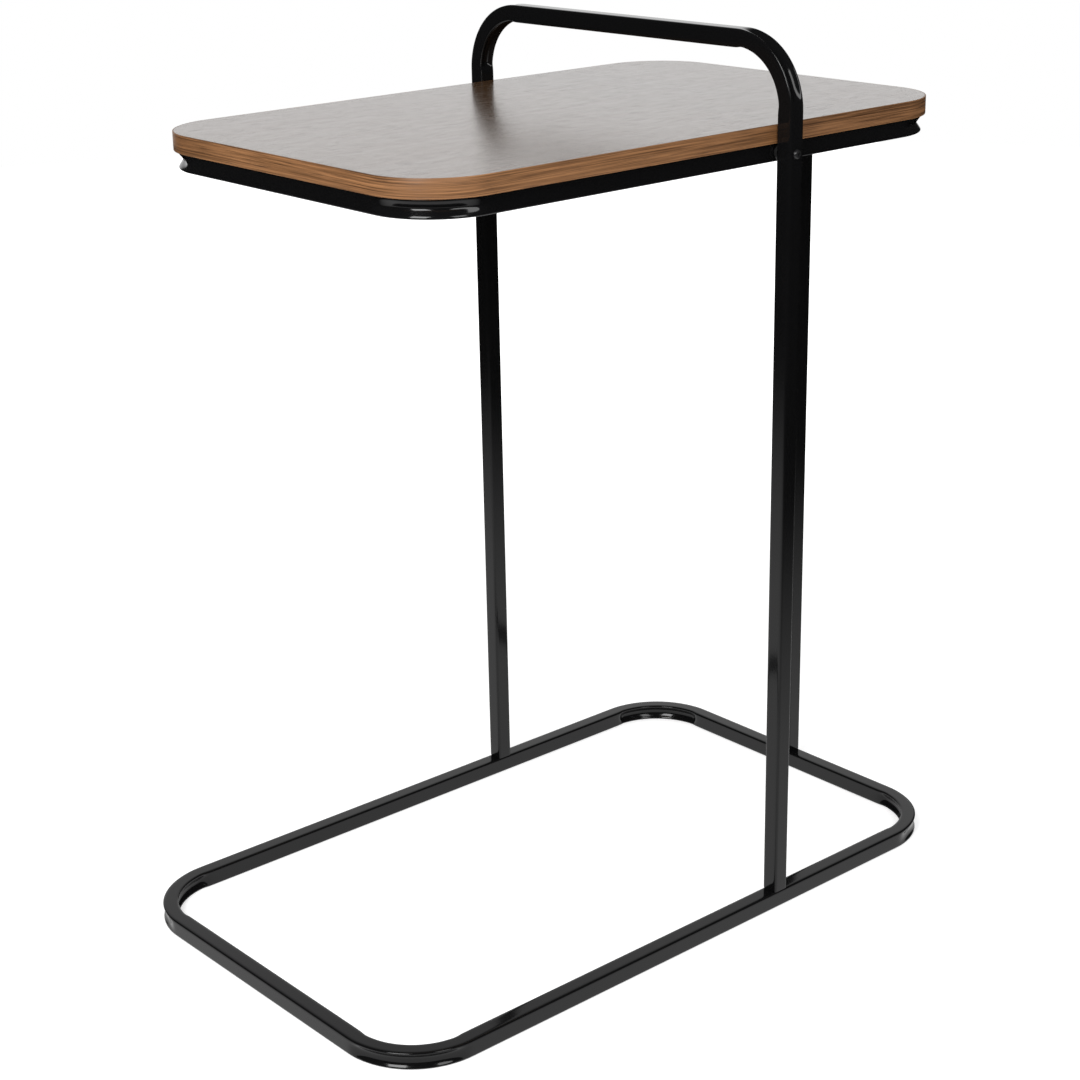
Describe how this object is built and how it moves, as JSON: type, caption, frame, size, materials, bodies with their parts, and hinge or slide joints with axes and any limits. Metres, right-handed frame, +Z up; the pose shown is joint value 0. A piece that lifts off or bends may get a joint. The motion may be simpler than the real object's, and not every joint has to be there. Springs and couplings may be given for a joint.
{
  "type": "c shaped side table",
  "caption": "C-shaped side table: wood-look board on a black square-tube ring, side legs that cross over it as a carrying handle, a rear leg and a rectangular tube base open towards the seat",
  "frame": {"origin": "middle of the base ring's footprint, on the floor", "axes": "+Z up, the long sides of base and board along X with the open end of the C at -X and the rear leg at +X, the handle bar along Y"},
  "size_m": [0.6522, 0.3944, 0.755],
  "materials": {
    "black_powder_coat": "gloss black powder coat on steel tube, smooth, with clear reflections",
    "walnut_laminate": "satin printed walnut laminate, grain along the long side",
    "walnut_edge_band": "satin wood-grain edge band, fine dark streaks along it",
    "backing_laminate": "matt plain backing laminate",
    "particle_board": "raw particle board, inside the board",
    "black_plastic": "matt black moulded plastic",
    "black_screw_steel": "black-plated steel, shiny on the worn edges",
    "zinc_steel": "bright zinc-plated steel"
  },
  "bodies": {
    "root": {"base_ring": "black_powder_coat", "handle_frame": "black_powder_coat", "rear_leg": "black_powder_coat", "rear_leg_cap": "black_plastic", "upper_ring": "black_powder_coat", "board_core": "particle_board", "top_laminate": "walnut_laminate", "underside_laminate": "backing_laminate", "edge_band": "walnut_edge_band", "leg_screws": "black_screw_steel", "leg_spacers": "black_plastic", "rivet_nuts": "zinc_steel", "foot_bolts": "zinc_steel", "foot_washers": "zinc_steel", "wood_screws": "zinc_steel", "foot_plug_left": "zinc_steel", "foot_plug_right": "zinc_steel", "foot_plug_rear": "zinc_steel"}
  },
  "joints": []
}
